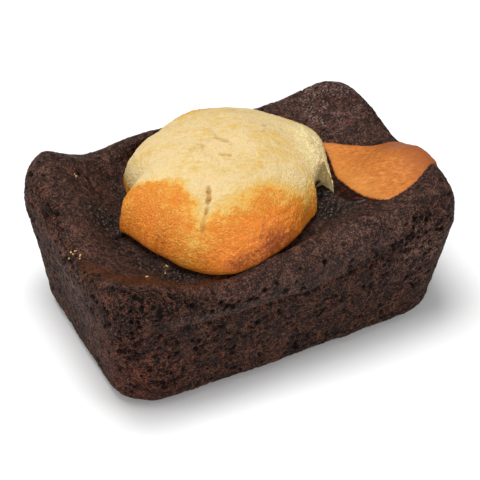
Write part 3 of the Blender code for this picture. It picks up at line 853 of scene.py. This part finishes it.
def makeCrumbs(ground):  # ground: the points of the top, which the crumbs lie on
    made = bmesh.new()
    ground = ground.reshape(-1, 3)
    for x, y, scatter, many in crumbs["groups"]:
        for _ in range(many):
            place = np.array([x, y]) + rng.normal(0, scatter / 2, 2)
            near = ground[np.hypot(ground[:, 0] - place[0], ground[:, 1] - place[1]) < 0.5]
            radius = rng.uniform(crumbs["smallest"], crumbs["largest"])
            centre = Vector((place[0], place[1], near[:, 2].max() + radius * (1 - 2 * crumbs["sink"])))
            squash = Vector(rng.uniform(*crumbs["squash"], 3))
            seed = Vector(rng.uniform(0, 90, 3))
            for vert in bmesh.ops.create_icosphere(made, subdivisions=2, radius=1)["verts"]:
                dent = 1 + crumbs["dent"] * noise.noise(vert.co * 1.1 + seed)
                vert.co = (centre + vert.co * squash * radius * dent) * mm
    mesh = bpy.data.meshes.new("vanillaCrumbs")
    made.to_mesh(mesh)
    made.free()
    layer = mesh.attributes.new("bakeAndShade", "FLOAT", "POINT")
    layer.data.foreach_set("value", rng.uniform(*crumbs["bakeAndShade"], len(mesh.vertices)).astype(np.float32))
    mesh.shade_smooth()
    piece = bpy.data.objects.new("vanillaCrumbs", mesh)
    bpy.context.scene.collection.objects.link(piece)
    return piece


# materials; the stops of each ramp are places from dark to light, and colours as a screen shows them

# in the crumb, warm, skin and pale ramps the darkest stops are partly painted shade in the grain's pores and
# dents, and the lightest stops partly painted highlights on its ridges; the same grain makes the bump
crumbColours = ((0.4, (5, 2, 2)), (0.46, (28, 16, 11)), (0.5, (49, 31, 24)), (0.55, (68, 43, 33)),
                (0.63, (104, 68, 52)))
warmColours = ((0.4, (10, 4, 3)), (0.46, (37, 17, 11)), (0.5, (60, 31, 21)), (0.55, (86, 44, 29)),
               (0.63, (128, 68, 44)))
skinColours = ((0.4, (16, 8, 6)), (0.46, (40, 23, 18)), (0.5, (55, 35, 28)), (0.55, (71, 46, 37)),
               (0.62, (106, 72, 60)))
paleColours = ((0.4, (22, 11, 8)), (0.46, (54, 33, 26)), (0.5, (76, 51, 42)), (0.55, (99, 69, 58)),
               (0.62, (140, 106, 94)))
# the moist crumb is near black, and the lightest stops here are painted glints on it
wetCrumbAndGlintColours = ((0.42, (6, 4, 3)), (0.48, (15, 10, 8)), (0.53, (32, 22, 18)), (0.58, (62, 48, 41)),
              (0.65, (116, 102, 94)))
glazeColours = ((0.34, (34, 14, 7)), (0.5, (66, 34, 17)), (0.66, (106, 60, 30)))
syrupColours = ((0.3, (12, 5, 4)), (0.54, (34, 13, 8)), (0.64, (78, 30, 12)), (0.76, (130, 60, 24)))
patchColours = ((0.32, (156, 88, 38)), (0.44, (187, 107, 45)), (0.55, (202, 123, 55)), (0.7, (230, 162, 92)))
tornColours = ((0.36, (216, 182, 108)), (0.45, (240, 216, 150)), (0.53, (248, 229, 170)),
               (0.64, (254, 244, 212)))
# the crust from pale to deep brown; the darker stops also carry the painted shade of the dome's lower flanks
bakeAndShadeColours = ((0.0, (228, 201, 147)), (0.12, (222, 187, 113)), (0.26, (230, 179, 86)), (0.42, (223, 143, 36)),
               (0.56, (219, 124, 23)), (0.7, (236, 134, 31)), (0.84, (220, 119, 33)), (1.0, (170, 80, 22)))

streakTurn = -27.0  # the way that the streaks in both sponges run in plan, in degrees
chocolateLook = {  # grains have a size in mm and a weight; pores have a cell and a radius in mm, and a share
    "fine": (0.4, 0.76), "middle": (1.1, 0.32), "broad": (3.4, 0.26), "darker": 0.167,
    "smallPores": (1.0, 0.42, 0.42), "largePores": (2.0, 0.75, 0.36), "poresOnSkin": 0.15,
    "poreShadeColour": (4, 2, 1), "poreShadeAmount": 0.96, "paintedGlintColour": (176, 150, 144), "paintedGlintShare": 0.75,
    "patchNearDome": (226, 160, 78), "patchRim": (188, 108, 50), "patchOutside": (150, 80, 42),
    "crumbRough": 0.75, "skinRough": 0.55, "smoothest": 0.14, "bumpHeight": 0.8, "specular": 0.16,
}


def chocolateCrumb(tree, tone, skin):
    # gives the crumb's colour, with its warm, pale, glazed and moist places and its painted glints; the glints'
    # specks;
    # and the height of the moist lumps
    moist, glaze, pale, warm = (field(tree, name) for name in ("moist", "glaze", "pale", "warm"))
    warmSpots = spread(tree, noiseOf(tree, 0.9, 2), 0.5, 0.66)
    warmth = math2(tree, "ADD", warmSpots, times(tree, warm, 0.85), clamp=True)
    colour = blendColour(tree, warmth, ramp(tree, tone, crumbColours), ramp(tree, tone, warmColours))
    smoothSkin = times(tree, skin, spread(tree, warmth, 0, 1, 1, 0.6))
    colour = blendColour(tree, smoothSkin, colour, ramp(tree, tone, skinColours))
    colour = blendColour(tree, pale, colour, ramp(tree, tone, paleColours))
    colour = blendColour(tree, glaze, colour, ramp(tree, tone, glazeColours))
    crumbly = noiseOf(tree, 0.6, 2, 0.7)
    colour = blendColour(tree, moist, colour, ramp(tree, crumbly, wetCrumbAndGlintColours))
    # painted glints: whitish specks in clumps on the rough crust at the back right, where the finish is also
    # smoother
    clumped = times(tree, field(tree, "glintsAndCrust"), spread(tree, noiseOf(tree, 3, 2), 0.42, 0.58))
    glintSpecks = times(tree, clumped, spread(tree, noiseOf(tree, 0.6, 2, 0.7), 0.53, 0.62))
    paintedGlintAmount = times(tree, glintSpecks, chocolateLook["paintedGlintShare"])
    colour = blendColour(tree, paintedGlintAmount, colour, fromPhoto(*chocolateLook["paintedGlintColour"]))
    lumps = times(tree, crumbly, times(tree, moist, 1.5))
    return colour, glintSpecks, lumps


def patchSponge(tree, fine, ragged):  # the vanilla patch: yellow near the dome, brown over the right rim
    grained = noiseOf(tree, 0.8, 3, 0.7, (0.5, 1, 1), streakTurn)
    colour = ramp(tree, weighted(tree, (fine, 0.3), (grained, 0.7)), patchColours)
    across = node(tree, "ShaderNodeSeparateXYZ", {0: placeOf(tree)}).outputs[0]
    for amount, name in ((spread(tree, across, 34 * mm, 26 * mm, 0, 0.3), "patchNearDome"),
                         (spread(tree, ragged, -2.2, -0.2, 0, 0.4), "patchRim"),
                         (spread(tree, across, 35 * mm, 45 * mm, 0, 0.85), "patchOutside")):
        colour = blendColour(tree, amount, colour, fromPhoto(*chocolateLook[name]))
    return colour


def makeChocolate():
    material, tree = startMaterial("chocolateSponge")
    surface = tree.nodes["Principled BSDF"]
    pore, skin = field(tree, "pore"), field(tree, "skin")
    fine = noiseOf(tree, chocolateLook["fine"][0], 2, 0.75)
    middle = noiseOf(tree, chocolateLook["middle"][0], 2, 0.6)
    broad = noiseOf(tree, chocolateLook["broad"][0], 2)
    tone = weighted(tree, (fine, chocolateLook["fine"][1]), (middle, chocolateLook["middle"][1]),
                    (broad, chocolateLook["broad"][1]))
    tone = math2(tree, "SUBTRACT", tone, chocolateLook["darker"])
    cluster = spread(tree, noiseOf(tree, 5, 2), 0.35, 0.65, -0.25, 0.25)
    holes = math2(tree, "MAXIMUM", poresOf(tree, *chocolateLook["smallPores"], cluster),
                  poresOf(tree, *chocolateLook["largePores"], cluster))
    holes = times(tree, holes, spread(tree, skin, 0.0, 1.0, 1.0, chocolateLook["poresOnSkin"]))

    colour, glintSpecks, lumps = chocolateCrumb(tree, tone, skin)
    # painted shade in the pores: the pores pressed into the mesh and the shader's holes are painted near black
    poreShade = times(tree, math2(tree, "MAXIMUM", pore, holes), chocolateLook["poreShadeAmount"])
    colour = blendColour(tree, poreShade, colour, fromPhoto(*chocolateLook["poreShadeColour"]))

    shaken = times(tree, math2(tree, "SUBTRACT", noiseOf(tree, 0.9), 0.5), 0.8)
    ragged = math2(tree, "ADD", field(tree, "patch"), shaken)
    onPatch = spread(tree, ragged, -0.15, 0.12, 1, 0)
    offPatch = times(tree, field(tree, "syrup"), spread(tree, ragged, -0.5, 0.1))
    colour = blendColour(tree, onPatch, colour, patchSponge(tree, fine, ragged))
    colour = blendColour(tree, offPatch, colour, ramp(tree, noiseOf(tree, 1.6, 3, 0.6), syrupColours))

    rough = spread(tree, skin, 0, 1, chocolateLook["crumbRough"], chocolateLook["skinRough"])
    for amount, smoother in ((field(tree, "moist"), 0.15), (field(tree, "glaze"), 0.15), (glintSpecks, 0.25),
                             (offPatch, 0.2)):
        rough = math2(tree, "SUBTRACT", rough, times(tree, amount, smoother), clamp=True)
    rough = math2(tree, "MAXIMUM", rough, chocolateLook["smoothest"])
    relief = math2(tree, "ADD", math2(tree, "SUBTRACT", tone, holes), lumps)
    smooth = math2(tree, "ADD", times(tree, offPatch, 0.9), times(tree, onPatch, 0.6), clamp=True)
    strength = times(tree, spread(tree, skin, 0, 1, 1.0, 0.6), math2(tree, "SUBTRACT", 1.0, smooth))
    tree.links.new(colour, surface.inputs["Base Color"])
    tree.links.new(rough, surface.inputs["Roughness"])
    tree.links.new(bump(tree, relief, strength, chocolateLook["bumpHeight"]), surface.inputs["Normal"])
    surface.inputs["Specular IOR Level"].default_value = chocolateLook["specular"]
    print("chocolate sponge:", len(tree.nodes), "nodes")
    return material


vanillaLook = {  # the weights of four grains and their mean, then the colours and the finish
    "middle": 0.35, "fine": 0.3, "streak": 0.55, "wide": 0.6, "mean": 0.88, "bakeRange": 1.25,
    "glintColour": (252, 200, 112), "crackTintAndShadeColour": (184, 126, 46), "crackTintAndShadeAmount": 0.8, "tornPale": 0.85,
    "crustRough": 0.4, "crumbRough": 0.68, "bumpHeight": 0.5, "specular": 0.4,
    "scatter": 0.2, "scatterRadius": (1.0, 0.55, 0.25), "scatterScale": 1.0,
}


def makeVanilla():
    material, tree = startMaterial("vanillaSponge")
    surface = tree.nodes["Principled BSDF"]
    bakeAndShade, crack, torn = field(tree, "bakeAndShade"), field(tree, "crack"), field(tree, "torn")
    middle, fine = noiseOf(tree, 1.9, 3, 0.6), noiseOf(tree, 0.5, 2, 0.7)
    streak = noiseOf(tree, 0.7, 2, 0.65, (0.35, 1, 1.1), streakTurn)
    wide = noiseOf(tree, 4.5, 2, 0.6, (0.5, 1, 1), streakTurn)
    stirred = weighted(tree, (middle, vanillaLook["middle"]), (fine, vanillaLook["fine"]),
                       (streak, vanillaLook["streak"]), (wide, vanillaLook["wide"]))
    stirred = math2(tree, "SUBTRACT", stirred, vanillaLook["mean"])
    stirred = times(tree, stirred, spread(tree, bakeAndShade, 0.0, 0.5, 0.95, 1.05))
    brownAndShade = math2(tree, "DIVIDE", math2(tree, "ADD", bakeAndShade, stirred), vanillaLook["bakeRange"])
    colour = ramp(tree, brownAndShade, bakeAndShadeColours)
    glints = spread(tree, noiseOf(tree, 0.42, 1, 0.6, (0.5, 1, 1), streakTurn), 0.58, 0.7)
    glints = times(tree, glints, spread(tree, bakeAndShade, 0.2, 0.7, 0.2, 0.42))
    colour = blendColour(tree, glints, colour, fromPhoto(*vanillaLook["glintColour"]))
    # the cracks' darker yellow, partly painted shade in them
    crackTintAndShadeMix = times(tree, crack, vanillaLook["crackTintAndShadeAmount"])
    colour = blendColour(tree, crackTintAndShadeMix, colour, fromPhoto(*vanillaLook["crackTintAndShadeColour"]))
    raw = ramp(tree, weighted(tree, (fine, 0.5), (middle, 0.5)), tornColours)
    colour = blendColour(tree, times(tree, torn, vanillaLook["tornPale"]), colour, raw)
    # painted shade of the dark mouth under the tear, in the moist crumb's near-black colours
    colour = blendColour(tree, field(tree, "paintedTearShade"), colour, ramp(tree, fine, wetCrumbAndGlintColours))
    rough = spread(tree, bakeAndShade, 0.1, 0.7, vanillaLook["crumbRough"], vanillaLook["crustRough"])
    relief = math2(tree, "ADD", noiseOf(tree, 0.4, 1, 0.6), times(tree, fine, 0.7))
    tree.links.new(colour, surface.inputs["Base Color"])
    tree.links.new(rough, surface.inputs["Roughness"])
    tree.links.new(bump(tree, relief, 1.0, vanillaLook["bumpHeight"]), surface.inputs["Normal"])
    surface.inputs["Subsurface Weight"].default_value = vanillaLook["scatter"]
    surface.inputs["Subsurface Radius"].default_value = vanillaLook["scatterRadius"]
    surface.inputs["Subsurface Scale"].default_value = vanillaLook["scatterScale"] * mm
    surface.inputs["Specular IOR Level"].default_value = vanillaLook["specular"]
    print("vanilla sponge:", len(tree.nodes), "nodes")
    return material


# the cake is put together

def finishPiece(piece, material):
    piece.data.materials.append(material)
    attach(piece, "root")
    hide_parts("loaf")
    print(piece.name, len(piece.data.polygons), "faces")


chocolate, vanilla = makeChocolate(), makeVanilla()
finishPiece(makeWall(), chocolate)
topPiece, topPoints = makeTop()
finishPiece(topPiece, chocolate)
finishPiece(makeDome(), vanilla)
finishPiece(makeCrumbs(topPoints), vanilla)
makeRoom()
makeCamera()
bpy.context.scene.view_settings.view_transform = "Standard"
